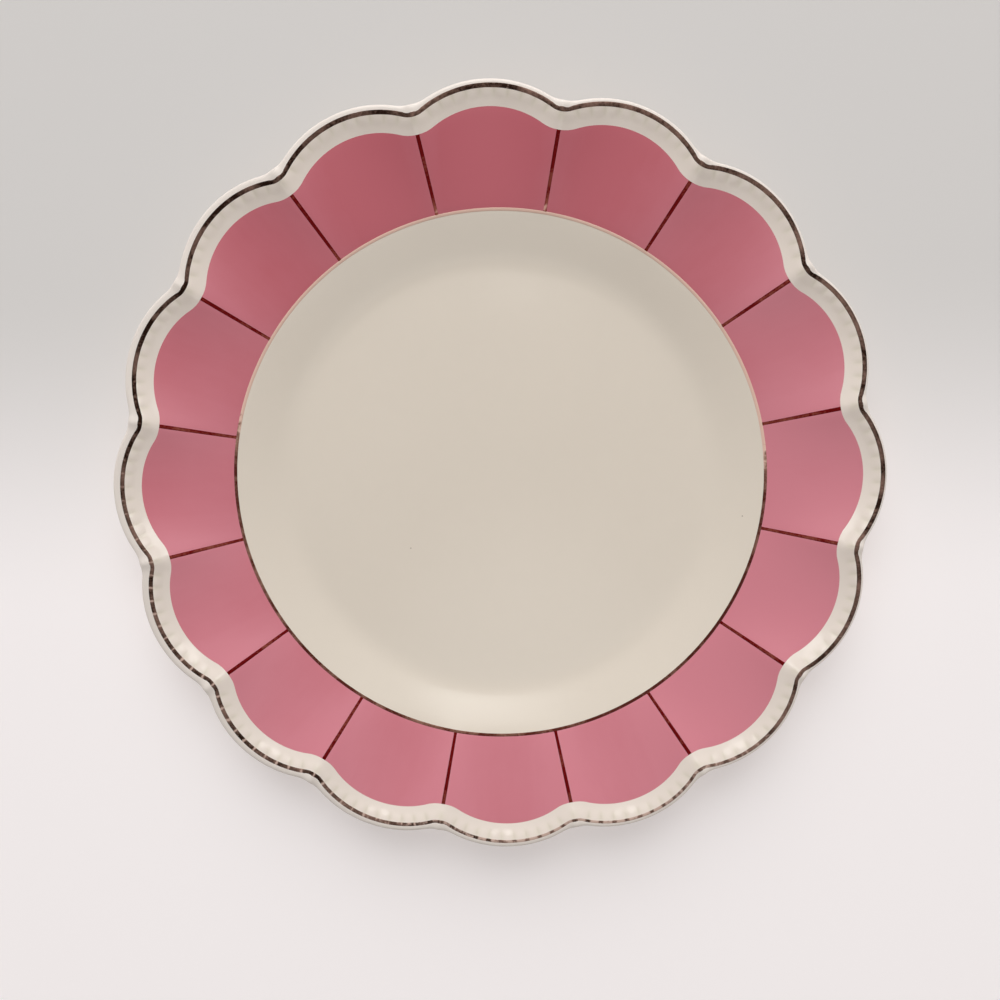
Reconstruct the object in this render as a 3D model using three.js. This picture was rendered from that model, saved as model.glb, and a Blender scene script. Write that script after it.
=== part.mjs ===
// A salad plate, pressed in one piece from ceramic with an ivory glaze. The round well runs out into a rim
// of cupped lobes, with a beaded border and a plain rounded lip. Pink enamel panels fill the lobes, and
// fired-on gold lines run along the ridges between them, round the well and along the beads.
// Millimetres, +Z up. The plate stands on its foot ring at z = 0, with a lobe's crest on +X.
import * as THREE from 'three';

// Outline of the rim: lobe arcs about centres on one circle, joined by valley arcs
const SCALLOP_COUNT = 16;
const LOBE_CENTRE_RADIUS = 74.6; // from the plate's axis to the centre of each lobe's arc
const RIM_LINE_LOBE_RADIUS = 27.8; // lobe arc of the gold rim line
const RIM_LINE_VALLEY_RADIUS = 5.0; // valley arc of the gold rim line
const BORDER_WIDTH = 4.85; // from the rim line in to the pink panels
const LIP_WIDTH = 2.3; // from the rim line out to the edge, at a lobe's crest
const EDGE_VALLEY_RADIUS = 12.0; // valley arc of the outer edge

// Heights and the section of the body
const FOOT_HEIGHT = 3.0;
const BODY_THICKNESS = 4.2;
const WELL_DEPTH = 3.2; // from the well's gold line down to the floor
const RIDGE_RISE = 4.5; // from the well's gold line up to the ridges' outer ends
const CUP_DEPTH = 2.3; // of a panel below its ridges, at its outer end
const BORDER_RISE = 1.25; // from the panels' outer ends up to the rim line
const LIP_DROP = 1.5; // from the rim line down to the widest point of the edge

// Well and foot ring
const WELL_RADIUS = 72.5; // to the middle of the well's gold line
const WALL_RUN = 16.0; // width of the sloping wall of the well
const WALL_FILLET = 5.8; // width of the curve at its foot, where the floor turns up
const FOOT_INSET = 1.5; // of the foot ring's outer side from the edge of the floor
const FOOT_WIDTH = 4.2;
const FOOT_DRAFT = 0.8; // flare of each side of the foot ring
const FOOT_ROUNDING = 0.6; // of the standing edge

// Beads of the border
const BEADS_PER_SCALLOP = 11;
const BEAD_LENGTH = 2.6;
const BEAD_HEIGHT = 0.3;
const BEAD_INSET = 1.8; // from the rim line in to the middle of a bead
const BEAD_SHOULDER = 0.3; // share of a bead's pitch from its gap to its full height
const BEAD_END = 0.8; // share of a bead's half length out to the rings that shape its ends

// Fired-on layers
const ENAMEL_THICKNESS = 0.15;
const GOLD_THICKNESS = 0.2;
const LAYER_GAP = 0.05; // between a layer and the glaze under it
const SEAM_GAP = 0.12; // between neighbouring layers
const SPOKE_WIDTH = 0.8;
const WELL_LINE_WIDTH = 0.6;
const RIM_LINE_WIDTH = 1.1;

// Facets
const PANEL_COLUMNS = 8;
const PANEL_ROWS = 3;
const WELL_COLUMNS_PER_SCALLOP = 5;
const WALL_FILLET_ROWS = 3;
const LIP_ROWS = 3;

// Sizes that follow from the ones above
const SCALLOP_ANGLE = 2 * Math.PI / SCALLOP_COUNT;
const HALF_SCALLOP = SCALLOP_ANGLE / 2;
const PANEL_LOBE_RADIUS = RIM_LINE_LOBE_RADIUS - BORDER_WIDTH;
const PANEL_VALLEY_RADIUS = RIM_LINE_VALLEY_RADIUS + BORDER_WIDTH;
const PANEL_INNER_RADIUS = WELL_RADIUS + WELL_LINE_WIDTH / 2 + SEAM_GAP;
const PANEL_CREST = panelRadius(0);
const PANEL_VALLEY = panelRadius(HALF_SCALLOP);
const PANEL_MARGIN = SPOKE_WIDTH / 2 + SEAM_GAP; // from a ridge's line to the panel beside it
const FLOOR_TOP = FOOT_HEIGHT + BODY_THICKNESS;
const WELL_LINE_HEIGHT = FLOOR_TOP + WELL_DEPTH;
const RIDGE_SLOPE = RIDGE_RISE / (PANEL_VALLEY - WELL_RADIUS);
const CUP_SLOPE = CUP_DEPTH / (PANEL_CREST - WELL_RADIUS);
const WELL_LINE_SLOPE = RIDGE_SLOPE - CUP_SLOPE / 2;
const FLOOR_RADIUS = WELL_RADIUS - WELL_LINE_WIDTH / 2 - WALL_RUN;
const RIM_COLUMNS = PANEL_COLUMNS + 2; // in each scallop: the ridge, and both ends of the panel's columns

// Materials
const glaze = () => new THREE.MeshStandardMaterial({ color: '#e0d8c8', roughness: 0.12, metalness: 0 });
const pinkEnamel = () => new THREE.MeshStandardMaterial({ color: '#bf6c76', roughness: 0.2, metalness: 0 });
const firedGold = () => new THREE.MeshStandardMaterial({ color: '#b08442', roughness: 0.2, metalness: 1 });

// Scalloped outlines

// Where a lobe arc meets its valley arc: the valley centre's radius and the turn of the lobe arc to there.
function scallopJoin(lobeRadius, valleyRadius) {
  const across = LOBE_CENTRE_RADIUS * Math.sin(HALF_SCALLOP);
  const along = LOBE_CENTRE_RADIUS * Math.cos(HALF_SCALLOP);
  const valleyCentre = along + Math.sqrt((lobeRadius + valleyRadius) ** 2 - across ** 2);
  const lobeTurn = Math.atan2(
    valleyCentre * Math.sin(HALF_SCALLOP),
    valleyCentre * Math.cos(HALF_SCALLOP) - LOBE_CENTRE_RADIUS,
  );
  return { valleyCentre, lobeTurn };
}

// Polar radius of an outline, at an angle from a lobe's crest of up to half a scallop either way.
function scallopRadius(fromCrest, lobeRadius, valleyRadius) {
  const { valleyCentre, lobeTurn } = scallopJoin(lobeRadius, valleyRadius);
  const joinAngle = Math.atan2(
    lobeRadius * Math.sin(lobeTurn),
    LOBE_CENTRE_RADIUS + lobeRadius * Math.cos(lobeTurn),
  );
  const angle = Math.abs(fromCrest);
  if (angle <= joinAngle) {
    const offset = LOBE_CENTRE_RADIUS * Math.sin(angle);
    return LOBE_CENTRE_RADIUS * Math.cos(angle) + Math.sqrt(lobeRadius ** 2 - offset ** 2);
  }
  const fromValley = HALF_SCALLOP - angle;
  const offset = valleyCentre * Math.sin(fromValley);
  return valleyCentre * Math.cos(fromValley) - Math.sqrt(valleyRadius ** 2 - offset ** 2);
}

function panelRadius(fromCrest) {
  return scallopRadius(fromCrest, PANEL_LOBE_RADIUS, PANEL_VALLEY_RADIUS);
}

// Outline parallel to the rim line, a distance outside it.
function rimLineRadius(fromCrest, outside) {
  return scallopRadius(fromCrest, RIM_LINE_LOBE_RADIUS + outside, RIM_LINE_VALLEY_RADIUS - outside);
}

function edgeRadius(fromCrest) {
  return scallopRadius(fromCrest, RIM_LINE_LOBE_RADIUS + LIP_WIDTH, EDGE_VALLEY_RADIUS);
}

// Point a distance inside the rim line, at a share of the line's length from one valley to the next.
function borderPoint(share, inside) {
  const { valleyCentre, lobeTurn } = scallopJoin(RIM_LINE_LOBE_RADIUS, RIM_LINE_VALLEY_RADIUS);
  const lobeLength = RIM_LINE_LOBE_RADIUS * lobeTurn;
  const valleyLength = RIM_LINE_VALLEY_RADIUS * (lobeTurn - HALF_SCALLOP);
  const fromMiddle = (2 * share - 1) * (lobeLength + valleyLength);
  const reach = Math.abs(fromMiddle);
  let across;
  let out;
  if (reach <= lobeLength) {
    const turn = reach / RIM_LINE_LOBE_RADIUS;
    across = (RIM_LINE_LOBE_RADIUS - inside) * Math.sin(turn);
    out = LOBE_CENTRE_RADIUS + (RIM_LINE_LOBE_RADIUS - inside) * Math.cos(turn);
  } else {
    const turn = lobeTurn - (reach - lobeLength) / RIM_LINE_VALLEY_RADIUS;
    across = valleyCentre * Math.sin(HALF_SCALLOP) - (RIM_LINE_VALLEY_RADIUS + inside) * Math.sin(turn);
    out = valleyCentre * Math.cos(HALF_SCALLOP) - (RIM_LINE_VALLEY_RADIUS + inside) * Math.cos(turn);
  }
  return { fromCrest: Math.sign(fromMiddle) * Math.atan2(across, out), radius: Math.hypot(across, out) };
}

// Surface heights

// Height of the cupped rim: ridges rise straight out from the well, and each panel dips between them.
function panelHeight(radius, fromCrest) {
  const dip = 1 - (fromCrest / HALF_SCALLOP) ** 2;
  return WELL_LINE_HEIGHT + (radius - WELL_RADIUS) * (RIDGE_SLOPE - CUP_SLOPE * dip);
}

// Height of the rim line above a panel's outer end, which it follows up and down.
function rimLineHeight(fromCrest) {
  return panelHeight(panelRadius(fromCrest), fromCrest) + BORDER_RISE;
}

// The well's wall, a distance out from the edge of the floor. Its slope grows evenly across the fillet and
// then stays the same up to the well's gold line.
function wallPoint(run) {
  const wallHeight = WELL_DEPTH - WELL_LINE_SLOPE * WELL_LINE_WIDTH / 2;
  const fullSlope = wallHeight / (WALL_RUN - WALL_FILLET / 2);
  const curved = Math.min(run, WALL_FILLET);
  const straight = run - curved;
  return {
    radius: FLOOR_RADIUS + run,
    height: FLOOR_TOP + fullSlope * (curved ** 2 / (2 * WALL_FILLET) + straight),
    slope: Math.atan(fullSlope * curved / WALL_FILLET),
  };
}

// The underside of the wall, a body's thickness square to the wall.
function wallUnderside(run) {
  const { radius, height, slope } = wallPoint(run);
  return {
    radius: radius + BODY_THICKNESS * Math.sin(slope),
    height: height - BODY_THICKNESS * Math.cos(slope),
  };
}

// Rings of points round the axis: each starts at the valley before the lobe on +X

function ringPoint(turn, radius, angle, height) {
  return { turn, x: radius * Math.cos(angle), y: radius * Math.sin(angle), z: height };
}

function roundRing(radius, height) {
  const count = SCALLOP_COUNT * WELL_COLUMNS_PER_SCALLOP;
  return Array.from({ length: count }, (_, i) => {
    const turn = i / count;
    return ringPoint(turn, radius, turn * 2 * Math.PI - HALF_SCALLOP, height);
  });
}

function wellLineRing(outside) {
  return roundRing(WELL_RADIUS + outside, WELL_LINE_HEIGHT + outside * WELL_LINE_SLOPE);
}

// The rim's columns: a ridge, then the columns of the panel beside it, from one margin to the other.
function rimColumns(scallop, nominalRadius) {
  const panelHalf = HALF_SCALLOP - Math.asin(PANEL_MARGIN / nominalRadius);
  const columns = [{ turn: scallop / SCALLOP_COUNT, fromCrest: -HALF_SCALLOP }];
  for (let column = 0; column <= PANEL_COLUMNS; column++) {
    const across = 2 * column / PANEL_COLUMNS - 1;
    const nominalHalf = HALF_SCALLOP - PANEL_MARGIN / PANEL_VALLEY;
    const turn = (scallop + 0.5 + across * nominalHalf / SCALLOP_ANGLE) / SCALLOP_COUNT;
    columns.push({ turn, fromCrest: across * panelHalf });
  }
  return columns;
}

// A ring on the rim's columns, with its radius and height given by the angle from the nearest crest.
function rimRing(nominalRadius, radiusAt, heightAt) {
  const ring = [];
  for (let scallop = 0; scallop < SCALLOP_COUNT; scallop++) {
    for (const { turn, fromCrest } of rimColumns(scallop, nominalRadius)) {
      const radius = radiusAt(fromCrest);
      ring.push(ringPoint(turn, radius, scallop * SCALLOP_ANGLE + fromCrest, heightAt(fromCrest, radius)));
    }
  }
  return ring;
}

// A row of the panels, at a share of the way from the well line to the scalloped border.
function panelRing(share, drop) {
  const nominalRadius = THREE.MathUtils.lerp(PANEL_INNER_RADIUS, PANEL_VALLEY, share);
  const radiusAt = (fromCrest) => THREE.MathUtils.lerp(PANEL_INNER_RADIUS, panelRadius(fromCrest), share);
  return rimRing(nominalRadius, radiusAt, (fromCrest, radius) => panelHeight(radius, fromCrest) - drop);
}

// A ring through the beads: each bead stands on the slope of the border, with full height at its shoulders.
function beadRing(inside) {
  const alongBead = (inside - BEAD_INSET) / (BEAD_LENGTH / 2);
  const lift = BEAD_HEIGHT * Math.sqrt(1 - alongBead ** 2);
  const ring = [];
  for (let scallop = 0; scallop < SCALLOP_COUNT; scallop++) {
    for (let bead = 0; bead < BEADS_PER_SCALLOP; bead++) {
      for (const place of [0, BEAD_SHOULDER, 1 - BEAD_SHOULDER]) {
        const share = (bead + place) / BEADS_PER_SCALLOP;
        const { fromCrest, radius } = borderPoint(share, inside);
        const panelEnd = borderPoint(share, BORDER_WIDTH);
        const panelTop = panelHeight(panelEnd.radius, panelEnd.fromCrest);
        const turn = (scallop + 0.5 + fromCrest / SCALLOP_ANGLE) / SCALLOP_COUNT;
        const height = panelTop + BORDER_RISE * (1 - inside / BORDER_WIDTH) + (place === 0 ? 0 : lift);
        ring.push(ringPoint(turn, radius, scallop * SCALLOP_ANGLE + fromCrest, height));
      }
    }
  }
  return ring;
}

function rimLineRing(outside) {
  return rimRing(PANEL_VALLEY, (fromCrest) => rimLineRadius(fromCrest, outside), rimLineHeight);
}

// The lip rolls from the rim line out to the edge as a quarter of an ellipse.
function lipRing(share) {
  const roll = share * Math.PI / 2;
  const radiusAt = (fromCrest) => THREE.MathUtils.lerp(
    rimLineRadius(fromCrest, RIM_LINE_WIDTH / 2),
    edgeRadius(fromCrest),
    Math.sin(roll),
  );
  const drop = LIP_DROP * (1 - Math.cos(roll));
  return rimRing(PANEL_VALLEY, radiusAt, (fromCrest) => rimLineHeight(fromCrest) - drop);
}

// Under the lip the section rolls back in to the thickness of the body.
function lipUnderside(share) {
  const roll = share * Math.PI / 2;
  const radiusAt = (fromCrest) => THREE.MathUtils.lerp(
    rimLineRadius(fromCrest, -LIP_WIDTH / 2),
    edgeRadius(fromCrest),
    Math.cos(roll),
  );
  const drop = THREE.MathUtils.lerp(LIP_DROP, BODY_THICKNESS, Math.sin(roll));
  return rimRing(PANEL_VALLEY, radiusAt, (fromCrest) => rimLineHeight(fromCrest) - drop);
}

// Solids

// Joins two neighbouring rings with triangles, stepping along whichever ring's next point comes first.
function joinRings(first, second, firstIndex, secondIndex, faces) {
  const turnAt = (ring, i) => (i < ring.length ? ring[i].turn : 1);
  const firstSteps = first.length > 1 ? first.length : 0;
  const secondSteps = second.length > 1 ? second.length : 0;
  let i = 0;
  let j = 0;
  while (i < firstSteps || j < secondSteps) {
    const a = firstIndex + i % first.length;
    const b = secondIndex + j % second.length;
    const firstIsNext = j === secondSteps || turnAt(first, i + 1) <= turnAt(second, j + 1);
    if (i < firstSteps && firstIsNext) {
      faces.push(a, b, firstIndex + (i + 1) % first.length);
      i++;
    } else {
      faces.push(a, b, secondIndex + (j + 1) % second.length);
      j++;
    }
  }
}

function solidGeometry(points, faces) {
  const geometry = new THREE.BufferGeometry();
  const positions = points.flatMap(({ x, y, z }) => [x, y, z]);
  geometry.setAttribute('position', new THREE.Float32BufferAttribute(positions, 3));
  geometry.setIndex(faces);
  geometry.computeVertexNormals();
  return geometry;
}

// A loft through rings, from the middle of the top, over the edge, to the middle of the underside.
function loftGeometry(rings) {
  const faces = [];
  let start = 0;
  for (let k = 0; k + 1 < rings.length; k++) {
    const next = start + rings[k].length;
    joinRings(rings[k], rings[k + 1], start, next, faces);
    start = next;
  }
  return solidGeometry(rings.flat(), faces);
}

// A fired-on layer: a grid of points on the glaze, raised by the layer gap and closed at its thickness.
// Rows run outwards and columns counter-clockwise. A closed band joins its last column to its first.
function layerGeometry(rows, thickness, closed) {
  const width = rows[0].length;
  const outer = rows.length - 1;
  const lifted = (lift) => rows.flat().map(({ x, y, z }) => ({ x, y, z: z + lift }));
  const points = [...lifted(LAYER_GAP), ...lifted(LAYER_GAP + thickness)];
  const under = (row, column) => row * width + column % width;
  const over = (row, column) => rows.length * width + under(row, column);
  const faces = [];
  const addWall = (rowA, columnA, rowB, columnB) => {
    faces.push(under(rowA, columnA), under(rowB, columnB), over(rowB, columnB));
    faces.push(under(rowA, columnA), over(rowB, columnB), over(rowA, columnA));
  };
  const spans = closed ? width : width - 1;
  for (let column = 0; column < spans; column++) {
    for (let row = 0; row < outer; row++) {
      faces.push(over(row, column), over(row + 1, column), over(row, column + 1));
      faces.push(over(row, column + 1), over(row + 1, column), over(row + 1, column + 1));
      faces.push(under(row, column), under(row, column + 1), under(row + 1, column));
      faces.push(under(row, column + 1), under(row + 1, column + 1), under(row + 1, column));
    }
    addWall(outer, column, outer, column + 1);
    addWall(0, column + 1, 0, column);
  }
  if (!closed) {
    for (let row = 0; row < outer; row++) {
      addWall(row, 0, row + 1, 0);
      addWall(row + 1, spans, row, spans);
    }
  }
  return solidGeometry(points, faces);
}

// The ceramic body, ring by ring
function plateBodyGeometry() {
  const wallRuns = [];
  for (let row = 0; row <= WALL_FILLET_ROWS; row++) {
    wallRuns.push(WALL_FILLET * row / WALL_FILLET_ROWS);
  }
  wallRuns.push(WALL_RUN);
  const wallRings = (sectionAt) => wallRuns.map((run) => {
    const { radius, height } = sectionAt(run);
    return roundRing(radius, height);
  });

  const rings = [[ringPoint(0, 0, 0, FLOOR_TOP)], ...wallRings(wallPoint)];
  rings.push(wellLineRing(WELL_LINE_WIDTH / 2));
  for (let row = 0; row <= PANEL_ROWS; row++) {
    rings.push(panelRing(row / PANEL_ROWS, 0));
  }

  const beadReach = BEAD_END * BEAD_LENGTH / 2;
  for (const inside of [BEAD_INSET + beadReach, BEAD_INSET, BEAD_INSET - beadReach]) {
    rings.push(beadRing(inside));
  }
  rings.push(rimLineRing(-RIM_LINE_WIDTH / 2));
  for (let row = 0; row <= LIP_ROWS; row++) {
    rings.push(lipRing(row / LIP_ROWS));
  }
  const halfway = 0.5;
  rings.push(lipUnderside(halfway), lipUnderside(1));
  rings.push(panelRing(1, BODY_THICKNESS), panelRing(halfway, BODY_THICKNESS));
  rings.push(...wallRings(wallUnderside).reverse());

  const footOuter = FLOOR_RADIUS - FOOT_INSET;
  const footInner = footOuter - FOOT_WIDTH;
  rings.push(
    roundRing(footOuter + FOOT_DRAFT, FOOT_HEIGHT),
    roundRing(footOuter, FOOT_ROUNDING),
    roundRing(footOuter - FOOT_ROUNDING, 0),
    roundRing(footInner + FOOT_ROUNDING, 0),
    roundRing(footInner, FOOT_ROUNDING),
    roundRing(footInner - FOOT_DRAFT, FOOT_HEIGHT),
    [ringPoint(0, 0, 0, FOOT_HEIGHT)],
  );
  return loftGeometry(rings);
}

// One pink panel: its columns of each panel row, from margin to margin.
function pinkPanelGeometry(scallop) {
  const first = scallop * RIM_COLUMNS + 1;
  const rows = [];
  for (let row = 0; row <= PANEL_ROWS; row++) {
    rows.push(panelRing(row / PANEL_ROWS, 0).slice(first, first + PANEL_COLUMNS + 1));
  }
  return layerGeometry(rows, ENAMEL_THICKNESS, false);
}

// One gold spoke: a strip folded over the ridge at the start of a scallop, between two panels.
function goldSpokeGeometry(scallop) {
  const first = scallop * RIM_COLUMNS;
  const towardsPanel = SPOKE_WIDTH / 2 / PANEL_MARGIN;
  const rows = [];
  for (let row = 0; row <= PANEL_ROWS; row++) {
    const ring = panelRing(row / PANEL_ROWS, 0);
    const ridge = new THREE.Vector3().copy(ring[first]);
    const beside = [ring.at(first - 1), ring[first + 1]];
    const [before, after] = beside.map((point) => ridge.clone().lerp(point, towardsPanel));
    rows.push([before, ridge, after]);
  }
  return layerGeometry(rows, GOLD_THICKNESS, false);
}

function goldWellRingGeometry() {
  const rows = [wellLineRing(-WELL_LINE_WIDTH / 2), wellLineRing(WELL_LINE_WIDTH / 2)];
  return layerGeometry(rows, GOLD_THICKNESS, true);
}

function goldRimLineGeometry() {
  const rows = [rimLineRing(-RIM_LINE_WIDTH / 2), rimLineRing(RIM_LINE_WIDTH / 2)];
  return layerGeometry(rows, GOLD_THICKNESS, true);
}

// The plate
const plate = new THREE.Group();

function addPiece(name, geometry, material) {
  const mesh = new THREE.Mesh(geometry, material);
  mesh.name = name;
  plate.add(mesh);
}

addPiece('plate_body', plateBodyGeometry(), glaze());
for (let scallop = 0; scallop < SCALLOP_COUNT; scallop++) {
  const number = String(scallop + 1).padStart(2, '0');
  addPiece(`pink_panel_${number}`, pinkPanelGeometry(scallop), pinkEnamel());
  addPiece(`gold_spoke_${number}`, goldSpokeGeometry(scallop), firedGold());
}
addPiece('gold_well_ring', goldWellRingGeometry(), firedGold());
addPiece('gold_rim_line', goldRimLineGeometry(), firedGold());

export default plate;
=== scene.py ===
"""Looks of the salad plate: an ivory glazed body with pink enamel panels and fired-on gold lines."""
import math

import bpy
import numpy as np
from mathutils import Matrix, Vector


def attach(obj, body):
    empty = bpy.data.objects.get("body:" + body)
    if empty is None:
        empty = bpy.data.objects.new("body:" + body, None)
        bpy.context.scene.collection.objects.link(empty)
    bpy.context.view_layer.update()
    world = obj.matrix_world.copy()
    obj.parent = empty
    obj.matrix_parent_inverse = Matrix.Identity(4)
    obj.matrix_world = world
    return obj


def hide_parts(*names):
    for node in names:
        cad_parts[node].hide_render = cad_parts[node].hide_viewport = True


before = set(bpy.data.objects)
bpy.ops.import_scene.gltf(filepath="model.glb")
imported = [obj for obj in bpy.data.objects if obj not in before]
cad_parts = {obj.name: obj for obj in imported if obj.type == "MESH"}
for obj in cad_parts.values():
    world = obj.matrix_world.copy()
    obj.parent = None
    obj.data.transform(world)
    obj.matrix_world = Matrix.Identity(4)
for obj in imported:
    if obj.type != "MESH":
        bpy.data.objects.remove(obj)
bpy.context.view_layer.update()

# The body: one pressing of pale clay under an ivory glaze, with a flat well, a sloping wall, a rim of
# sixteen cupped lobes with a row of beads along it, a rolled lip and a turned foot ring. The lip is smoothed
# by hand after pressing, so it is a little wider on the left and narrower on the near side.
MM = 0.001
LOBES = 16
LOBE_ANGLE = 2 * math.pi / LOBES
HALF_LOBE = LOBE_ANGLE / 2

lobe_centre_radius = 74.6 * MM
rim_line_lobe_radius = 27.8 * MM
rim_line_valley_radius = 5.0 * MM
border_width = 4.85 * MM
lip_width = 1.95 * MM
edge_valley_radius = 12.0 * MM
lip_shift = 0.8 * MM
lip_shift_angle = math.radians(195)
lip_near_cut = 0.4 * MM
lip_near_angle = math.radians(280)

foot_height = 3.0 * MM
foot_setback = 1.5 * MM
foot_width = 4.2 * MM
foot_draft = 0.8 * MM
foot_rounding = 0.6 * MM
body_thickness = 4.2 * MM
well_depth = 3.2 * MM
ridge_rise = 4.5 * MM
cup_depth = 2.3 * MM
border_rise = 1.25 * MM
lip_drop = 1.5 * MM
lip_power = 5
well_radius = 72.5 * MM
wall_run = 16.3 * MM
wall_fillet = 5.8 * MM
verge_rounding = 1.5 * MM
ridge_rounding = 0.07

floor_radius = well_radius - wall_run
floor_top = foot_height + body_thickness
well_line_height = floor_top + well_depth
wall_slope = well_depth / (wall_run - wall_fillet / 2)

beads_per_lobe = 11
bead_height = 0.11 * MM
bead_roundness = 2.5
bead_inset = 1.35 * MM
bead_inner_fade = 2.2 * MM
bead_outer_fade = 2.5 * MM
thin_glaze = 0.6
lip_glaze_and_highlight = 1.2


def border_point(share, inside):
    """A point a distance inside the rim line, at a share of the line's length from one valley to the next.

    The line is a lobe arc between two halves of valley arcs, and the distance is taken along their radii.
    Gives the angle from the lobe's crest and the distance from the plate's axis."""
    across = lobe_centre_radius * math.sin(HALF_LOBE)
    along = lobe_centre_radius * math.cos(HALF_LOBE)
    arcs = rim_line_lobe_radius + rim_line_valley_radius
    valley_centre = along + math.sqrt(arcs ** 2 - across ** 2)
    valley_across = valley_centre * math.sin(HALF_LOBE)
    valley_out = valley_centre * math.cos(HALF_LOBE)
    lobe_turn = math.atan2(valley_across, valley_out - lobe_centre_radius)
    lobe_length = rim_line_lobe_radius * lobe_turn
    valley_length = rim_line_valley_radius * (lobe_turn - HALF_LOBE)
    from_middle = (2 * share - 1) * (lobe_length + valley_length)
    reach = np.abs(from_middle)
    on_lobe = reach <= lobe_length
    valley_turn = lobe_turn - (reach - lobe_length) / rim_line_valley_radius
    turn = np.where(on_lobe, reach / rim_line_lobe_radius, valley_turn)
    arc_radius = np.where(on_lobe, rim_line_lobe_radius - inside, -rim_line_valley_radius - inside)
    out = np.where(on_lobe, lobe_centre_radius, valley_out) + arc_radius * np.cos(turn)
    sideways = np.where(on_lobe, 0, valley_across) + arc_radius * np.sin(turn)
    return np.sign(from_middle) * np.arctan2(sideways, out), np.hypot(sideways, out)


def edge_radius(from_crest, angle):
    """Distance of the lip's outer edge from the axis: lobe arcs and wider valley arcs, seen from the axis by
    the sine rule. The lip is wider on the left by a cosine, and narrower on the near side by a cosine
    squared."""
    lobe_radius = rim_line_lobe_radius + lip_width
    across = lobe_centre_radius * math.sin(HALF_LOBE)
    arcs = lobe_radius + edge_valley_radius
    valley_centre = lobe_centre_radius * math.cos(HALF_LOBE) + math.sqrt(arcs ** 2 - across ** 2)
    lobe_turn = math.atan2(
        valley_centre * math.sin(HALF_LOBE), valley_centre * math.cos(HALF_LOBE) - lobe_centre_radius
    )
    join = math.atan2(
        lobe_radius * math.sin(lobe_turn), lobe_centre_radius + lobe_radius * math.cos(lobe_turn)
    )
    turn = np.abs(from_crest)
    offset = lobe_centre_radius * np.sin(turn)
    on_lobe = lobe_centre_radius * np.cos(turn) + np.sqrt(lobe_radius ** 2 - offset ** 2)
    valley_offset = valley_centre * np.sin(HALF_LOBE - turn)
    valley_reach = np.sqrt(np.maximum(edge_valley_radius ** 2 - valley_offset ** 2, 0))
    on_valley = valley_centre * np.cos(HALF_LOBE - turn) - valley_reach
    plain = np.where(turn <= join, on_lobe, on_valley)
    near = np.maximum(np.cos(angle - lip_near_angle), 0) ** 2
    return plain + lip_shift * np.cos(angle - lip_shift_angle) - lip_near_cut * near


valley_radius = border_point(0.0, border_width)[1]
crest_radius = border_point(0.5, border_width)[1]
ridge_slope = ridge_rise / (valley_radius - well_radius)
cup_slope = cup_depth / (crest_radius - well_radius)


def rim_height(radius, from_crest):
    """Height of the top of the wall and the cupped rim.

    The wall's slope bends over into the rim's slope along a hyperbola at the well's gold line. The rim's
    slope is the ridges' slope less the cup's, which falls off with the square of the angle from the lobe's
    middle and turns over in a second square at the ridge, so that the ridge is rounded."""
    turn = np.abs(from_crest) / HALF_LOBE
    start = 1 - ridge_rounding
    past = np.maximum(turn - start, 0)
    rise = np.minimum(turn, start) ** 2 + 2 * start * past - start / ridge_rounding * past ** 2
    panel_slope = ridge_slope - cup_slope * (1 - rise)
    out = radius - well_radius
    bend = (wall_slope - panel_slope) / 2
    return well_line_height + wall_slope * out - bend * (out + np.hypot(out, verge_rounding))


def bead_shape(share, inside):
    """Share of a bead's full height: a dome along the border with a sharp groove on each side, times a
    cosine across it on both sides of its middle, the outer one long enough to carry the grooves under the
    rim line."""
    along = np.abs(2 * (share * beads_per_lobe % 1) - 1)
    dome = 1 - along ** bead_roundness
    fade = np.where(inside > bead_inset, bead_inner_fade, bead_outer_fade)
    across = 0.5 + 0.5 * np.cos(np.pi * np.clip(np.abs(inside - bead_inset) / fade, 0, 1))
    return dome * across


def border_height(share, inside):
    """Height of the border: a straight slope from the panel's outer end up to the rim line, plus the
    beads."""
    from_crest, radius = border_point(share, border_width)
    slope_share = np.clip(1 - inside / border_width, 0, 1)
    slope = rim_height(radius, from_crest) + border_rise * slope_share
    return slope + bead_height * bead_shape(share, inside)


def lip_change(share, width):
    """Height of the lip against the rim line, at a share of the lip's width: the border's slope runs on a
    little and dies away, and then the edge rolls down by a rule of fifth powers, so that most of the lip is
    level."""
    run_on = border_rise / border_width * width * share * (1 - share) ** 2
    return run_on - lip_drop * (1 - (1 - share ** lip_power) ** (1 / lip_power))


def placed(radius, angle, height):
    """Points from their distance from the axis, their angle round it and their height."""
    radius, angle, height = np.broadcast_arrays(radius, angle, height)
    return np.stack([radius * np.cos(angle), radius * np.sin(angle), height], axis=-1)


columns_per_bead = 6
columns_per_lobe = beads_per_lobe * columns_per_bead
fillet_rows = 5
wall_rows = 6
panel_rows = 20
border_rows = 14
lip_rows = 11
under_lip_rows = 6
under_rim_rows = 6
under_wall_rows = 7
foot_corner_rows = 3
column_count = LOBES * columns_per_lobe
column_share = np.arange(column_count) % columns_per_lobe / columns_per_lobe
column_lobe = np.arange(column_count) // columns_per_lobe * LOBE_ANGLE
even_turn = (column_share - 0.5) * LOBE_ANGLE


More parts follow.
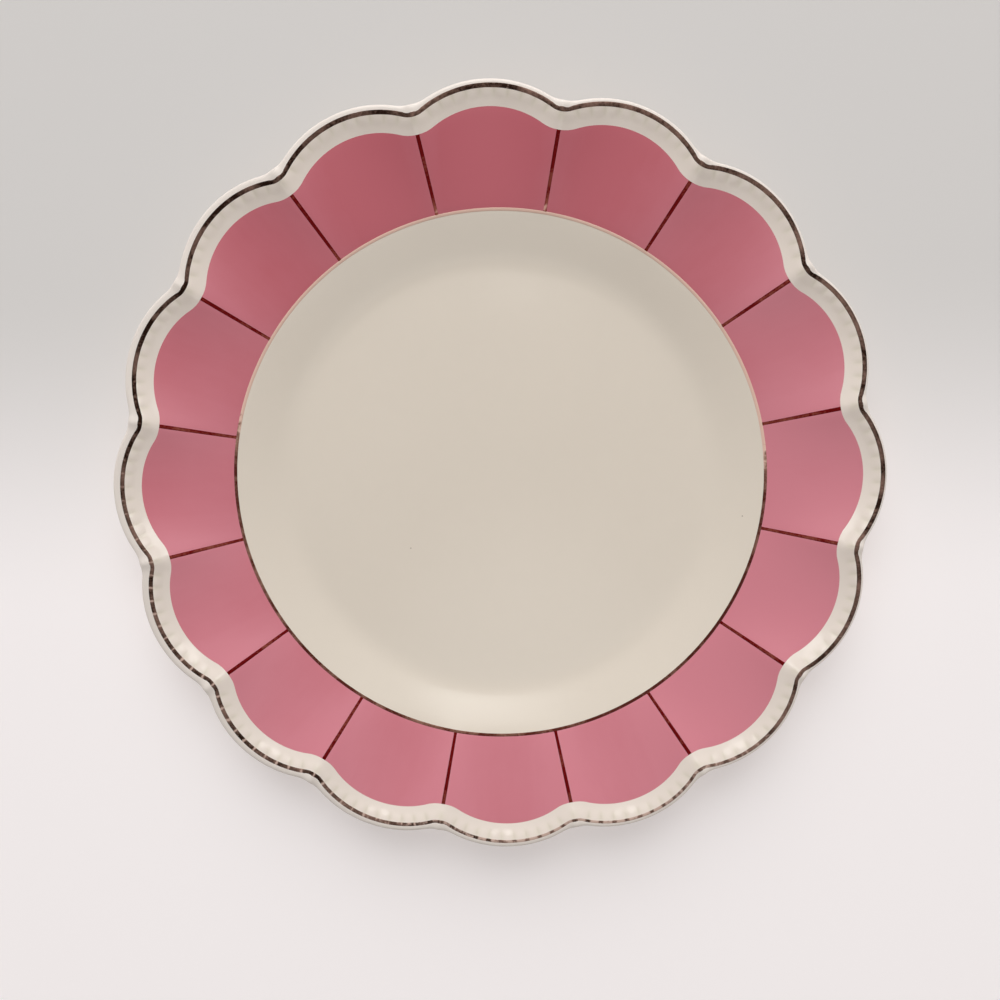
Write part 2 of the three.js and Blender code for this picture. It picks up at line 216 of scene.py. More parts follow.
def body_points():
    """The body as rings round the axis: out across the well, the wall and a lobe, over the beads and the
    lip, then back under the rim to the foot ring and the middle of the underside. A column's angle goes from
    even steps at the well to even steps along the rim line at the border. Gives the points and, for each,
    how deep the glaze lies: less than nothing on the border, where it runs thin, least on the lip, where it
    also stands for a painted highlight, and more in the grooves, where it also stands for painted shade."""
    panel_turn, panel_end = border_point(column_share, border_width)
    line_turn, line_radius = border_point(column_share, 0.0)
    line_height = border_height(column_share, 0.0)
    depths_and_painted_light = []
    rows = []

    def add(radius, turn, height, depth_and_painted_light=0.0):
        row = placed(radius, column_lobe + turn, height)
        rows.append(row)
        depths_and_painted_light.append(np.broadcast_to(depth_and_painted_light, row.shape[:-1]))

    floor_rows = np.array([0.35, 0.7, 0.9])[:, None] * floor_radius
    add(floor_rows, even_turn, floor_top)
    fillet = np.linspace(0, wall_fillet, fillet_rows + 1)[:, None]
    add(floor_radius + fillet, even_turn, floor_top + wall_slope * fillet ** 2 / (2 * wall_fillet))
    wall = np.linspace(floor_radius + wall_fillet, well_radius, wall_rows + 1)[1:-1, None]
    add(wall, even_turn, rim_height(wall, even_turn))

    out = np.linspace(0, 1, panel_rows + 1)[:-1, None]
    turn = even_turn + (panel_turn - even_turn) * out
    radius = well_radius + (panel_end - well_radius) * out
    add(radius, turn, rim_height(radius, turn))

    inside = np.linspace(border_width, 0, border_rows + 1)[:, None]
    turn, radius = border_point(column_share, inside)
    beads = bead_shape(column_share, inside)
    # Pooling between the beads, which also stands for painted shade in the grooves.
    pooling_and_groove_shade = beads.max(axis=1, keepdims=True) - beads
    add(radius, turn, border_height(column_share, inside), pooling_and_groove_shade - thin_glaze)

    edge = edge_radius(line_turn, column_lobe + line_turn)
    lip_top = line_height - bead_height * bead_shape(column_share, 0.0)
    roll = math.pi / 2 * np.linspace(0, 1, lip_rows + 1)[1:, None] ** 2
    reach = np.sin(roll) ** (2 / lip_power)
    radius = line_radius + (edge - line_radius) * reach
    beads = bead_height * bead_shape(column_share, line_radius - radius)
    # The lip's glaze value also stands for a painted highlight.
    add(radius, line_turn, lip_top + beads + lip_change(reach, edge - line_radius), -lip_glaze_and_highlight)
    roll = np.linspace(0, math.pi / 2, under_lip_rows + 1)[1:, None]
    under_radius = line_radius - lip_width / 2
    radius = under_radius + (edge - under_radius) * np.cos(roll)
    drop = lip_drop + (body_thickness - lip_drop) * np.sin(roll)
    add(radius, line_turn, lip_top - drop)

    back = np.linspace(1, 0, under_rim_rows + 1)[:, None]
    turn = even_turn + (panel_turn - even_turn) * back
    radius = well_radius + (panel_end - well_radius) * back
    add(radius, turn, rim_height(radius, turn) - body_thickness)
    run = np.linspace(wall_run, 0, under_wall_rows + 1)[1:, None]
    slope = wall_slope * np.minimum(run / wall_fillet, 1)
    curved = np.minimum(run, wall_fillet)
    height = floor_top + wall_slope * (curved ** 2 / (2 * wall_fillet) + run - curved)
    tilt = np.arctan(slope)
    radius = floor_radius + run + body_thickness * np.sin(tilt)
    add(radius, even_turn, height - body_thickness * np.cos(tilt))

    foot_outer = floor_radius - foot_setback
    foot_inner = foot_outer - foot_width
    corner = np.linspace(0, math.pi / 2, foot_corner_rows + 1)[:, None]
    add(np.array([[foot_outer + foot_draft]]), even_turn, foot_height)
    outer_corner = foot_outer - foot_rounding * (1 - np.cos(corner))
    add(outer_corner, even_turn, foot_rounding * (1 - np.sin(corner)))
    inner_corner = foot_inner + foot_rounding * (1 - np.sin(corner))
    add(inner_corner, even_turn, foot_rounding * (1 - np.cos(corner)))
    add(np.array([[foot_inner - foot_draft]]), even_turn, foot_height)
    add(np.array([[0.85], [0.45]]) * foot_inner, even_turn, foot_height)
    return np.concatenate(rows), np.concatenate(depths_and_painted_light)


def closed_rings(points):
    """Vertices and faces of rings round the axis, with a point on it to close the first and the last."""
    row_count, count = points.shape[:2]
    here = np.arange(row_count * count).reshape(row_count, count)
    right = np.roll(here, -1, axis=1)
    quads = np.stack([here[:-1], here[1:], right[1:], right[:-1]], axis=-1).reshape(-1, 4)
    first, last = row_count * count, row_count * count + 1
    top = np.stack([np.full(count, first), here[0], right[0]], axis=-1)
    under = np.stack([here[-1], np.full(count, last), right[-1]], axis=-1)
    poles = [points[0].mean(axis=0), points[-1].mean(axis=0)]
    return np.concatenate([points.reshape(-1, 3), poles]), quads.tolist() + top.tolist() + under.tolist()


sharp_rim = math.radians(60)


def add_piece(name, vertices, faces, material, slot, *nodes):
    """Makes a piece at the origin, smooth but for its sharp rims, that stands for CAD nodes and rides with
    the plate."""
    mesh = bpy.data.meshes.new(name)
    mesh.from_pydata(vertices, [], faces)
    mesh.shade_smooth()
    mesh.set_sharp_from_angle(angle=sharp_rim)
    mesh.materials.append(material)
    piece = bpy.data.objects.new(name, mesh)
    bpy.context.scene.collection.objects.link(piece)
    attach(piece, "root")
    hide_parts(*nodes)
    return piece


def node_maker(tree):
    """A function that adds a node to a tree, with links and plain values given by the inputs' names, or by
    their numbers after an underscore."""
    def add(kind, settings=None, **inputs):
        node = tree.nodes.new(kind)
        for key, value in (settings or {}).items():
            setattr(node, key, value)
        for key, value in inputs.items():
            socket = node.inputs[int(key[1:])] if key[0] == "_" else node.inputs[key]
            if isinstance(value, bpy.types.NodeSocket):
                tree.links.new(value, socket)
            else:
                socket.default_value = value
        return node
    return add


def new_material(name):
    """A material with its Principled shader, and a function that adds its nodes."""
    material = bpy.data.materials.new(name)
    material.use_nodes = True
    return material, material.node_tree.nodes["Principled BSDF"], node_maker(material.node_tree)


def connect(material, shader, **sources):
    """Links sockets to the shader's inputs, whose names are written with _ for a space."""
    for name, source in sources.items():
        material.node_tree.links.new(source, shader.inputs[name.replace("_", " ")])


def new_group(name, inputs, outputs):
    """A node group with named inputs and outputs of given kinds, a function that adds its nodes, and the
    sockets of what it is given."""
    tree = bpy.data.node_groups.new(name, "ShaderNodeTree")
    for way, sockets in (("INPUT", inputs), ("OUTPUT", outputs)):
        for socket, kind in sockets.items():
            tree.interface.new_socket(socket, in_out=way, socket_type="NodeSocket" + kind)
    add = node_maker(tree)
    return tree, add, add("NodeGroupInput").outputs


def combine(add, operation, first, second):
    """The sum, difference, product or comparison of two values."""
    return add("ShaderNodeMath", {"operation": operation}, _0=first, _1=second).outputs[0]


def remap(add, value, start, end, low, high, curve="LINEAR"):
    """A value's place between start and end, held within them and carried over to between low and high."""
    settings = {"interpolation_type": curve}
    return add("ShaderNodeMapRange", settings, Value=value, _1=start, _2=end, _3=low, _4=high).outputs[0]


def blend_values(add, share, first, second):
    """The value at a share of the way from the first to the second."""
    return add("ShaderNodeMix", {"data_type": "FLOAT"}, _0=share, _2=first, _3=second).outputs[0]


def blend_colours(add, share, first, second):
    """The colour at a share of the way from the first to the second."""
    return add("ShaderNodeMix", {"data_type": "RGBA"}, _0=share, _6=first, _7=second).outputs[2]


def unevenness_group():
    """Shared by every fired finish: two sizes of soft noise, added up to a tone and a height."""
    tree, add, given = new_group(
        "fired_unevenness", {"Place": "Vector", "Broad": "Float", "Fine": "Float"},
        {"Tone": "Float", "Height": "Float"},
    )
    place = given["Place"]
    broad = add("ShaderNodeTexNoise", Vector=place, Scale=given["Broad"], Detail=2.0).outputs["Fac"]
    fine = add("ShaderNodeTexNoise", Vector=place, Scale=given["Fine"], Detail=4.0, Roughness=0.6)
    tone = blend_values(add, 0.35, broad, fine.outputs["Fac"])
    add("NodeGroupOutput", Tone=tone, Height=broad)
    return tree


unevenness = unevenness_group()

deep_glaze = (0.825, 0.733, 0.625, 1)
light_glaze = (0.875, 0.777, 0.665, 1)
border_tint = (0.905, 0.797, 0.710, 1)
# The lip's tint: thin glaze and a painted highlight.
lip_tint_and_highlight = (0.895, 0.806, 0.735, 1)
# Pooled glaze between the beads, darkened further as painted shade.
pooled_glaze_and_groove_shade = (0.74, 0.65, 0.55, 1)
kiln_speck = (0.42, 0.33, 0.25, 1)
speck_cells_per_metre = 120.0
speck_core = 0.012
speck_edge = 0.028
speck_rarity = 0.86
glaze_refraction = 1.5


def ivory_glaze_material():
    """Ivory glaze: soft changes of tone, paler where it runs thin, palest on the lip, partly as a painted
    highlight, deeper where it pools between the beads and where shade is painted in the grooves, with a kiln
    speck in a few of the cells that the surface is divided into."""
    material, shader, add = new_material("ivory_glaze")
    place = add("ShaderNodeTexCoord").outputs["Object"]
    uneven = add("ShaderNodeGroup", {"node_tree": unevenness}, Place=place, Broad=28.0, Fine=240.0).outputs
    tone = blend_colours(add, uneven["Tone"], deep_glaze, light_glaze)
    depth_and_painted_light = add("ShaderNodeAttribute", {"attribute_name": "glaze_depth"}).outputs["Fac"]
    paleness = remap(add, depth_and_painted_light, 0.0, -thin_glaze, 0.0, 1.0)
    thinned = blend_colours(add, paleness, tone, border_tint)
    # The lip is tinted as thin glaze and as a painted highlight.
    lip_bareness_and_highlight = remap(add, depth_and_painted_light, -thin_glaze, -lip_glaze_and_highlight, 0.0, 1.0)
    bared_and_highlighted = blend_colours(add, lip_bareness_and_highlight, thinned, lip_tint_and_highlight)
    # Darker in the grooves: pooled glaze and painted shade.
    pooled_and_groove_shaded = blend_colours(add, depth_and_painted_light, bared_and_highlighted, pooled_glaze_and_groove_shade)
    cells = add("ShaderNodeTexVoronoi", Vector=place, Scale=speck_cells_per_metre).outputs
    near = remap(add, cells["Distance"], speck_core, speck_edge, 1.0, 0.0)
    lot = add("ShaderNodeSeparateColor", Color=cells["Color"]).outputs["Red"]
    chosen = combine(add, "GREATER_THAN", lot, speck_rarity)
    specked = blend_colours(add, combine(add, "MULTIPLY", near, chosen), pooled_and_groove_shaded, kiln_speck)
    gloss = remap(add, uneven["Tone"], 0.3, 0.7, 0.08, 0.15)
    ripple = add("ShaderNodeBump", Strength=0.12, Distance=0.0004, Height=uneven["Height"]).outputs[0]
    connect(material, shader, Base_Color=specked, Roughness=gloss, Normal=ripple)
    shader.inputs["IOR"].default_value = glaze_refraction
    return material


body_grid, glaze_depth = body_points()
plate_body = add_piece(
    "plate_body_glazed", *closed_rings(body_grid), ivory_glaze_material(), "ivory_glaze", "plate_body"
)
depth_values = np.append(glaze_depth.ravel(), [0, 0]).astype(np.float32)
plate_body.data.attributes.new("glaze_depth", "FLOAT", "POINT").data.foreach_set("value", depth_values)

# The pink panels: sixteen fields of pink enamel laid on the glaze between the ridges and fired again. Each
# is a thin skin with feathered edges that follows the cup of its lobe, with faint brush streaks along it.
# The colour is painted darker on the far side as shade, and paler on the near side and at the left and right
# as painted light.
enamel_lift = 0.04 * MM
enamel_sink = 0.03 * MM
enamel_feather = 0.9 * MM


def fired_layer(surface, lift, sink, wrapped):
    """A thin closed skin on a grid of points: the top is raised by its lift, the underside is sunk in
    proportion, and the two share their points wherever the lift is nothing, along the free edges. A face
    that would split between two corners without lift is turned, so that no half of it lies flat on the
    glaze. Gives the vertices and faces, and for each vertex the place in the grid that it stands on."""
    row_count, count = surface.shape[:2]
    over = np.arange(row_count * count).reshape(row_count, count)
    loose = lift > 0
    under = over.copy()
    under[loose] = row_count * count + np.arange(loose.sum())
    top = surface + lift[..., None] * np.array([0, 0, 1])
    bottom = surface[loose] - sink * (lift[loose] / lift.max())[:, None] * np.array([0, 0, 1])
    spans = count if wrapped else count - 1

    def quads(index):
        here, right = index[:, :spans], np.roll(index, -1, axis=1)[:, :spans]
        return np.stack([here[:-1], here[1:], right[1:], right[:-1]], axis=-1).reshape(-1, 4)

    upper = quads(over)
    raised = loose.ravel()[upper]
    turned = ~(raised[:, 0] | raised[:, 2])
    upper[turned] = np.roll(upper[turned], 1, axis=1)
    faces = upper.tolist() + quads(under)[:, ::-1].tolist()
    stands_on = np.concatenate([over.ravel(), over[loose]])
    return np.concatenate([top.reshape(-1, 3), bottom]), faces, stands_on


def feathered(distance, feather):
    """Rises from nothing at an edge to one at the feather's width, along a quarter of a sine."""
    return np.sin(np.pi / 2 * np.clip(distance / feather, 0, 1))


def panel_surface(lobe):
    """One panel's grid, on the body's own columns from ridge to ridge and its rows from the well's gold line
    to the border, with each row's angle and distance between the two ends of its column. Gives the points
    and each one's distance from an edge."""
    column = np.arange(columns_per_lobe + 1)
    share = column / columns_per_lobe
    out = np.linspace(0.0, 1.0, panel_rows + 1)[:, None]
    flat_turn = (share - 0.5) * LOBE_ANGLE
    end_turn, end_radius = border_point(share, border_width)
    turn = flat_turn + (end_turn - flat_turn) * out
    radius = well_radius + (end_radius - well_radius) * out
    points = placed(radius, lobe * LOBE_ANGLE + turn, rim_height(radius, turn))
    from_side = np.minimum(column, columns_per_lobe - column) / columns_per_lobe * LOBE_ANGLE * radius
    from_end = np.minimum(out, 1 - out) * (end_radius - well_radius)
    return points, np.minimum(from_side, from_end)


# Dark and pale ends of the pink; painted shade and sheen blend between them as well as the clouds.
thick_enamel_and_painted_shade = (0.610, 0.145, 0.180, 1)
thin_enamel_and_painted_sheen = (0.722, 0.243, 0.294, 1)
# Painted shade on the far side, painted sheen on the near side, painted light at the left and right; paler
# towards the ridges.
sheen_side_angle = math.radians(291)
far_painted_shade = -0.37
near_painted_sheen = 0.63
side_painted_light = 0.54
ridge_paling = 0.36
cloud_thinning = 0.24
streaks_across = 11.0
streaks_along = 1.6


def pink_enamel_material():
    """Pink enamel: a rose colour from thick to thin in streaks along the panel and in clouds, with painted
    shade on the far side and painted sheen on the near side, painted light growing with the square of the
    distance to the left or right, and paler with the square of the distance to the ridges."""
    material, shader, add = new_material("pink_enamel")
    place = add("ShaderNodeTexCoord").outputs
    on_plate, on_panel = place["Object"], place["UV"]
    clouds = add("ShaderNodeGroup", {"node_tree": unevenness}, Place=on_plate, Broad=45.0, Fine=160.0)
    cloudy = clouds.outputs["Tone"]
    stretched = add("ShaderNodeMapping", Vector=on_panel, Scale=(streaks_across, streaks_along, 1.0))
    streaks = add("ShaderNodeTexNoise", Vector=stretched.outputs[0], Scale=1.0, Detail=3.0).outputs["Fac"]
    uneven = blend_values(add, 0.3, cloudy, streaks)
    # Painted shade on the far side and painted sheen on the near side, across the plate.
    to_sheen_side = (math.cos(sheen_side_angle), math.sin(sheen_side_angle), 0)
    reach = add("ShaderNodeVectorMath", {"operation": "DOT_PRODUCT"}, _0=on_plate, _1=to_sheen_side)
    span = lobe_centre_radius
    paleness = remap(add, reach.outputs["Value"], -span, span, far_painted_shade, near_painted_sheen)
    # Painted light towards the left and right.
    sideways = add("ShaderNodeSeparateXYZ", Vector=on_plate).outputs["X"]
    side_light = remap(add, combine(add, "MULTIPLY", sideways, sideways), 0.0, span ** 2, 0.0, side_painted_light)
    # Paler towards the ridges.
    across = add("ShaderNodeSeparateXYZ", Vector=on_panel).outputs["X"]
    middle = combine(add, "SUBTRACT", across, 0.5)
    ridges = remap(add, combine(add, "MULTIPLY", middle, middle), 0.0, 0.5 ** 2, 0.0, ridge_paling)
    spread = remap(add, uneven, 0.32, 0.68, 0.0, cloud_thinning)
    for thinning in (side_light, ridges, spread):
        paleness = combine(add, "ADD", paleness, thinning)
    colour = blend_colours(add, paleness, thick_enamel_and_painted_shade, thin_enamel_and_painted_sheen)
    gloss = remap(add, cloudy, 0.3, 0.7, 0.29, 0.37)
    ripple = add("ShaderNodeBump", Strength=0.12, Distance=0.0003, Height=uneven).outputs[0]
    connect(material, shader, Base_Color=colour, Roughness=gloss, Normal=ripple)
    shader.inputs["IOR"].default_value = glaze_refraction
    return material


def map_grid(piece, stands_on, row_count, count):
    """Gives a skin's top and underside the same map: across the columns and along the rows, from 0 to 1."""
    corner = np.empty(len(piece.data.loops), dtype=np.int32)
    piece.data.loops.foreach_get("vertex_index", corner)
    grid = stands_on[corner]
    place = np.stack([grid % count / (count - 1), grid // count / (row_count - 1)], axis=-1)
    piece.data.uv_layers.new(name="grid").data.foreach_set("uv", place.astype(np.float32).ravel())


pink_enamel = pink_enamel_material()
for lobe in range(LOBES):
    points, from_edge = panel_surface(lobe)
    lift = enamel_lift * feathered(from_edge, enamel_feather)
    *skin, stands_on = fired_layer(points, lift, enamel_sink, False)
    number = f"{lobe + 1:02d}"
    panel = add_piece(f"pink_enamel_{number}", *skin, pink_enamel, "pink_enamel", f"pink_panel_{number}")
    map_grid(panel, stands_on, panel_rows + 1, columns_per_lobe + 1)

# The gold spokes: sixteen hand-drawn lines of liquid gold along the ridges, over the edges of the pink
# panels. Each is fired on as a thin low ridge with soft sides, dark and reddish where it is thick.
gold_lift = 0.05 * MM
gold_sink = 0.04 * MM
spoke_width = 1.0 * MM
spoke_rows = 60
line_facets = 8


def worn_gold_group():
    """Shared by the gold lines: browner where the gold is thick, brighter where it is thin, with patches of
    both, and breaks where it is rubbed away. The worn amount it is given also carries painted reflections,
    which make some sides of the plate paler and others darker. A value below nothing means thicker gold."""
    tree, add, given = new_group(
        "gold_wear_and_reflection",
        {"Place": "Vector", "Browned": "Color", "Bright": "Color", "Under": "Color", "Wear": "Float"},
        {"Color": "Color", "Metal": "Float", "Roughness": "Float", "Height": "Float"},
    )
    place, wear = given["Place"], given["Wear"]
    patches = add("ShaderNodeGroup", {"node_tree": unevenness}, Place=place, Broad=160.0, Fine=1400.0)
    patchy = patches.outputs["Tone"]
    # The worn amount also carries painted reflections.
    tone = combine(add, "ADD", remap(add, patchy, 0.38, 0.62, 0.0, 1.0), wear)
    gold = blend_colours(add, tone, given["Browned"], given["Bright"])
    grain = add("ShaderNodeTexNoise", Vector=place, Scale=900.0, Detail=3.0).outputs["Fac"]
    bared_and_reflecting = remap(add, combine(add, "ADD", grain, wear), 0.70, 0.92, 0.0, 1.0)
    colour = blend_colours(add, bared_and_reflecting, gold, given["Under"])
    metal = remap(add, bared_and_reflecting, 0.0, 1.0, 0.9, 0.0)
    rough = remap(add, patchy, 0.3, 0.7, 0.30, 0.46)
    add("NodeGroupOutput", Color=colour, Metal=metal, Roughness=rough, Height=grain)
    return tree


gold_wear_and_reflection = worn_gold_group()


def fired_gold_material(name, browned, bright, under):
    """Fired gold in two tones over a colour that shows where it is worn, as stored in the mesh with its
    painted reflections.
    """
    material, shader, add = new_material(name)
    place = add("ShaderNodeTexCoord").outputs["Object"]
    wear = add("ShaderNodeAttribute", {"attribute_name": "wear"}).outputs["Fac"]
    gold = add(
        "ShaderNodeGroup", {"node_tree": gold_wear_and_reflection},
        Place=place, Browned=browned, Bright=bright, Under=under, Wear=wear,
    ).outputs
    brushed = add("ShaderNodeBump", Strength=0.15, Distance=0.0001, Height=gold["Height"]).outputs[0]
    connect(
        material, shader, Base_Color=gold["Color"], Metallic=gold["Metal"], Roughness=gold["Roughness"],
        Normal=brushed,
    )
    return material


def set_wear_and_reflection(piece, stands_on, wear):
    """Stores how worn the gold is at each point of the top, with its painted reflections, and the same below
    it.
    """
    values = wear.ravel()[stands_on].astype(np.float32)
    piece.data.attributes.new("wear", "FLOAT", "POINT").data.foreach_set("value", values)


def spoke_surface(lobe):
    """One spoke's grid: a narrow strip along the ridge at the start of a lobe, from the well's gold line to
    the border. Gives the points and the lift, a low arch across the strip that tapers at its ends."""
    along = np.linspace(0, 1, spoke_rows + 1)[:, None]
    across = np.linspace(-1, 1, line_facets + 1)
    radius = well_radius + (valley_radius - well_radius) * along
    turn = spoke_width / 2 * across / radius
    height = rim_height(radius, HALF_LOBE - np.abs(turn))
    points = placed(radius, (lobe - 0.5) * LOBE_ANGLE + turn, height)
    ends = feathered(np.minimum(along, 1 - along) * (valley_radius - well_radius), spoke_width / 2)
    return points, np.sqrt(1 - across ** 2) * ends


spoke_edge_wear = -0.65
# Painted sheen along the middle of the spokes at the left, right and far side, and on the far inner ends.
sideways_sheen = 0.45
far_sheen = 0.05
sheen_end_reach = 3.4 * MM


def spoke_wear_and_sheen(lobe, arch):
    """Thick gold along both edges of a spoke, with a painted sheen by the square of the arch along its
    middle, most on the left and right of the plate and least on the near side. The inner ends of the far
    spokes are painted pale as a sheen too, falling off as a flat-topped bell curve."""
    angle = (lobe - 0.5) * LOBE_ANGLE
    far = max(math.sin(angle), 0)
    from_ring = np.linspace(0, valley_radius - well_radius, len(arch))[:, None]
    # Painted sheen on the far spokes' inner ends.
    inner_end_sheen = np.exp(-(from_ring / sheen_end_reach) ** 4)
    middle = sideways_sheen * abs(math.cos(angle)) + far_sheen * math.sin(angle)
    return spoke_edge_wear + arch ** 2 * middle + far ** 6 * inner_end_sheen


gold_on_pink = fired_gold_material(
    "fired_gold_on_pink", browned=(0.23, 0.006, 0.007, 1), bright=(0.52, 0.15, 0.105, 1),
    under=(0.76, 0.40, 0.31, 1),
)
for lobe in range(LOBES):
    points, arch = spoke_surface(lobe)
    *skin, stands_on = fired_layer(points, gold_lift * arch, gold_sink, False)
    number = f"{lobe + 1:02d}"
    spoke = add_piece(f"gold_line_{number}", *skin, gold_on_pink, "fired_gold", f"gold_spoke_{number}")
    set_wear_and_reflection(spoke, stands_on, spoke_wear_and_sheen(lobe, arch))

# The gold ring round the well: one line of liquid gold banded on a wheel where the wall turns over into the
# rim, covering the inner ends of the pink panels and of the spokes. Round the near half it is brown and
# painted darker as a reflection, and round the far half it is painted a pale peach as a reflection.
well_line_width = 0.85 * MM
well_line_lift = 1.2 * gold_lift
ring_columns = 720
# Painted reflections: pale peach round the far half, darker round the near right.
ring_sheen_side = math.radians(84)
ring_dark_side = math.radians(310)
plain_ring_wear = -0.18
ring_sheen_gain = 0.85
ring_dark_gain = 0.35
turns = np.arange(ring_columns) / ring_columns * 2 * math.pi
across = np.linspace(-1, 1, line_facets + 1)[:, None]
radius = well_radius + well_line_width / 2 * across
from_crest = (turns + HALF_LOBE) % LOBE_ANGLE - HALF_LOBE
ring_points = placed(radius, turns, rim_height(radius, from_crest))
ring_arch = np.broadcast_to(np.sqrt(1 - across ** 2), ring_points.shape[:-1])
# Its under colour is the pale peach of the painted reflection round the far half.
gold_round_well = fired_gold_material(
    "fired_gold_round_well", browned=(0.16, 0.035, 0.025, 1), bright=(0.55, 0.30, 0.22, 1),
    under=(0.85, 0.57, 0.46, 1),
)
# The ring's painted reflections, on top of its even rubbing.
sheen_half = np.clip((np.cos(turns - ring_sheen_side) + 0.10) / 0.4, 0, 1)
dark_reflection = np.maximum(np.cos(turns - ring_dark_side), 0) ** 3
ring_wear_and_reflection = plain_ring_wear + ring_sheen_gain * sheen_half - ring_dark_gain * dark_reflection
*skin, stands_on = fired_layer(ring_points, well_line_lift * ring_arch, gold_sink, True)
well_ring = add_piece("gold_ring_of_well", *skin, gold_round_well, "fired_gold", "gold_well_ring")
set_wear_and_reflection(well_ring, stands_on, np.broadcast_to(ring_wear_and_reflection, ring_arch.shape))

# The gold line along the rim: liquid gold brushed by hand along the outer ends of the beads, darkest at the
# far left. On the left the grooves between the beads are paler, so it reads as dashes. On the near side it
# is narrower, with a painted highlight on the beads' crowns and painted shade between them.
rim_line_width = 1.15 * MM
rim_line_near_width = 0.75 * MM
line_columns = beads_per_lobe * 12
rim_line_facets = 10
# Darker towards the far left, paler grooves on the left; painted shade and highlight on the near side.
darkest_at = math.radians(147)
dashed_at = math.radians(215)
near_at = math.radians(283)
plain_line_wear = 0.02
far_left_darkening = 0.42
groove_wear = 0.08
dashed_groove_paling = 0.47
# Painted shade and painted highlight on the near side.
near_shade = 0.04
near_crown_highlight = 0.52
line_share = np.arange(LOBES * line_columns) / line_columns
line_lobe = np.floor(line_share) * LOBE_ANGLE
line_turn, line_radius = border_point(line_share % 1, 0.0)
local_lip = edge_radius(line_turn, line_lobe + line_turn) - line_radius


def towards(angle, power):
    """One on the side of the plate at an angle, falling off on both sides of it as a power of the cosine."""
    return np.maximum(np.cos(line_lobe + line_turn - angle), 0) ** power


across = np.linspace(1, -1, rim_line_facets + 1)[:, None]
local_width = rim_line_width + (rim_line_near_width - rim_line_width) * towards(near_at, 6)
inside = local_width / 2 * across
turn, radius = border_point(line_share % 1, inside)
on_lip = lip_change(np.maximum(-inside, 0) / local_lip, local_lip)
line_points = placed(radius, line_lobe + turn, border_height(line_share % 1, inside) + on_lip)
line_arch = np.broadcast_to(np.sqrt(1 - across ** 2), line_points.shape[:-1])
from_crown = np.abs(2 * (line_share * beads_per_lobe % 1) - 1)
in_groove = np.clip((from_crown - 0.7) / 0.3, 0, 1)
on_crown = np.clip((0.85 - from_crown) / 0.3, 0, 1)
# Painted highlight on the near crowns and painted shade between them.
line_wear_and_light = (
    plain_line_wear - far_left_darkening * towards(darkest_at, 6)
    + (groove_wear + dashed_groove_paling * towards(dashed_at, 2)) * in_groove
    + towards(near_at, 6) * (near_crown_highlight * on_crown - near_shade)
)
gold_on_rim = fired_gold_material(
    "fired_gold_on_rim", browned=(0.035, 0.014, 0.008, 1), bright=(0.40, 0.24, 0.19, 1),
    under=(0.57, 0.40, 0.33, 1),
)
*skin, stands_on = fired_layer(line_points, gold_lift * line_arch, gold_sink, True)
rim_line = add_piece("gold_line_of_rim", *skin, gold_on_rim, "fired_gold", "gold_rim_line")
set_wear_and_reflection(rim_line, stands_on, np.broadcast_to(line_wear_and_light, line_arch.shape))

# The floor: a wide pale sheet under the plate, a little darker on the far side. It gives off some light of
# its own, so that the plate's shadow on it stays faint.
floor_half = 3.0
floor_near_tone = (0.695, 0.655, 0.652, 1)
floor_far_tone = (0.480, 0.460, 0.446, 1)
floor_tone_start = -0.040
floor_tone_end = 0.060
floor_mesh = bpy.data.meshes.new("pale_floor")
floor_corners = [(x * floor_half, y * floor_half, 0) for x, y in ((-1, -1), (1, -1), (1, 1), (-1, 1))]
floor_mesh.from_pydata(floor_corners, [], [(0, 1, 2, 3)])
pale_floor = bpy.data.objects.new("pale_floor", floor_mesh)
bpy.context.scene.collection.objects.link(pale_floor)
floor_paper, floor_shader, add = new_material("pale_floor")
floor_place = add("ShaderNodeSeparateXYZ", Vector=add("ShaderNodeTexCoord").outputs["Object"])
far_side = remap(add, floor_place.outputs["Y"], floor_tone_start, floor_tone_end, 0.0, 1.0, "SMOOTHSTEP")
floor_tone = blend_colours(add, far_side, floor_near_tone, floor_far_tone)
connect(floor_paper, floor_shader, Base_Color=floor_tone, Emission_Color=floor_tone)
floor_shader.inputs["Emission Strength"].default_value = 0.5
floor_shader.inputs["Roughness"].default_value = 0.9
floor_mesh.materials.append(floor_paper)

# The light: one broad soft lamp beyond the plate's far side, in an even pale room with three soft glows. Two
# are overhead, mirrored by the glaze on the near half of the plate and the near side of the wall. The third
# is round the lamp and is mirrored in its place, so that the plate doesn't glare against the light.
lamp_angle = math.radians(56)
lamp_distance = 2.4
lamp = bpy.data.lights.new("soft_lamp", "AREA")
lamp.shape = "DISK"
lamp.size = 2.4
lamp.energy = 42.5
lamp.color = (0.985, 1.0, 1.03)
lamp_object = bpy.data.objects.new("soft_lamp", lamp)
lamp_direction = Vector((0, math.sin(lamp_angle), math.cos(lamp_angle)))
lamp_object.location = lamp_distance * lamp_direction
lamp_object.rotation_euler = lamp_direction.to_track_quat("Z", "Y").to_euler()
lamp_object.visible_camera = False
lamp_object.visible_glossy = False
bpy.context.scene.collection.objects.link(lamp_object)

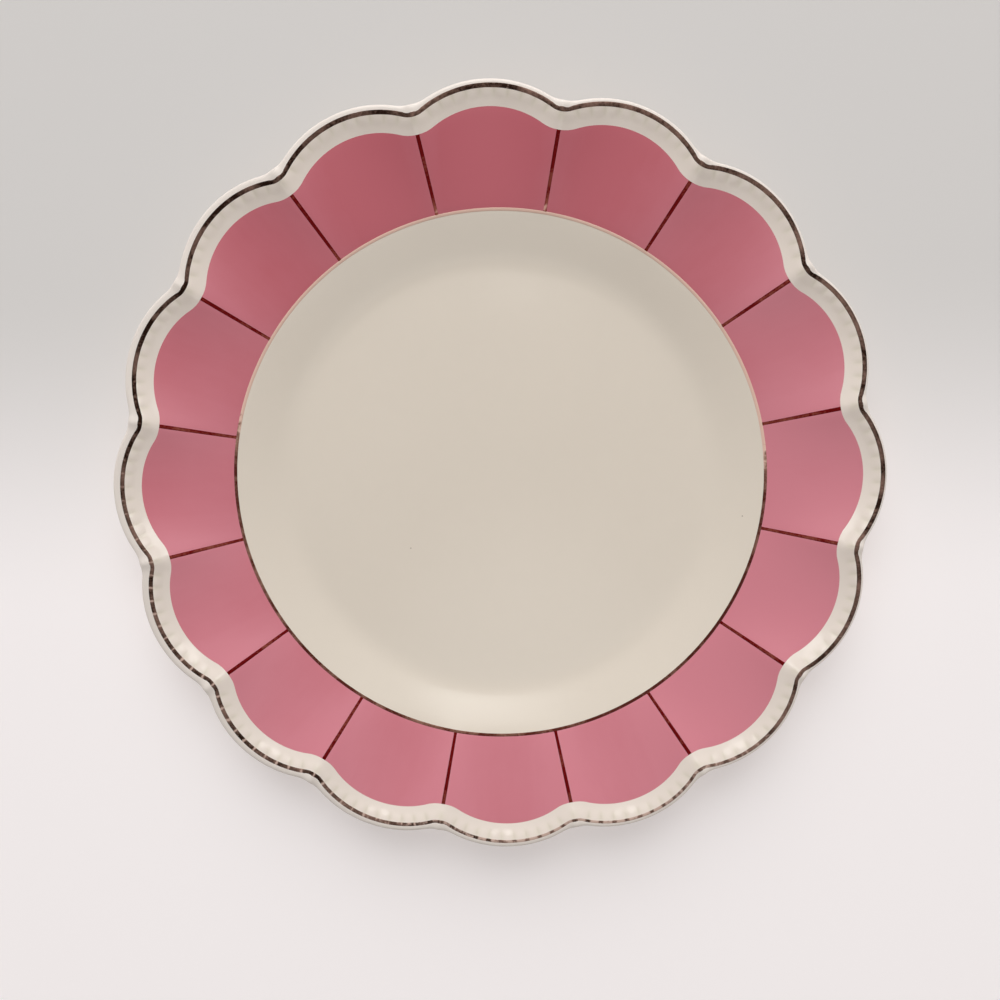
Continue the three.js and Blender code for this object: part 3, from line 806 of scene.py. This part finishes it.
room = bpy.data.worlds.new("pale_room")
room.use_nodes = True
bpy.context.scene.world = room
add = node_maker(room.node_tree)
towards_sky = add("ShaderNodeTexCoord").outputs["Generated"]
room_brightness = 0.27


def glow(tilt, inner, outer, strength):
    """A soft round glow in the room, tilted from overhead towards the far side, bright within the inner
    angle and gone at the outer one. All angles are in degrees."""
    tilt, inner, outer = math.radians(tilt), math.radians(inner), math.radians(outer)
    middle = (0, math.sin(tilt), math.cos(tilt))
    facing = add("ShaderNodeVectorMath", {"operation": "DOT_PRODUCT"}, _0=towards_sky, _1=middle)
    return remap(add, facing.outputs["Value"], math.cos(outer), math.cos(inner), 0.0, strength, "SMOOTHSTEP")


near_glow = glow(-18, 2, 10, 0.85)
far_glow = glow(10, 2, 7, 3.4)
lamp_glow = glow(math.degrees(lamp_angle), 10, 26, 2.0)
brightness = combine(add, "ADD", near_glow, far_glow)
for light in (lamp_glow, room_brightness):
    brightness = combine(add, "ADD", brightness, light)
background = room.node_tree.nodes["Background"]
background.inputs["Color"].default_value = (1.0, 0.985, 0.955, 1)
room.node_tree.links.new(brightness, background.inputs["Strength"])

# The camera: close above the plate and a little to the far side, as the picture was taken.
camera_tilt = math.radians(8.460)
camera_lean = math.radians(-1.778)
plate_turn = math.radians(1.333)
mm_per_pixel = 0.2737
focal_pixels = 974.56
picture_pixels = 1000
sensor_width = 36.0
centre_shift = Vector((1.608, -17.370, 0)) * mm_per_pixel * MM

to_plate = Matrix.Rotation(-plate_turn, 3, "Z") @ (
    Matrix.Rotation(camera_lean, 3, "Y") @ Matrix.Rotation(camera_tilt, 3, "X")
).transposed()
camera_place = to_plate @ (centre_shift + Vector((0, 0, focal_pixels * mm_per_pixel * MM)))
camera_place.z += well_line_height
camera = bpy.data.cameras.new("camera")
camera.sensor_width = sensor_width
camera.lens = sensor_width * focal_pixels / picture_pixels
camera.clip_start = 0.01
camera_object = bpy.data.objects.new("camera", camera)
camera_object.matrix_world = Matrix.Translation(camera_place) @ to_plate.to_4x4()
bpy.context.scene.collection.objects.link(camera_object)
bpy.context.scene.camera = camera_object
bpy.context.scene.view_settings.view_transform = "Standard"
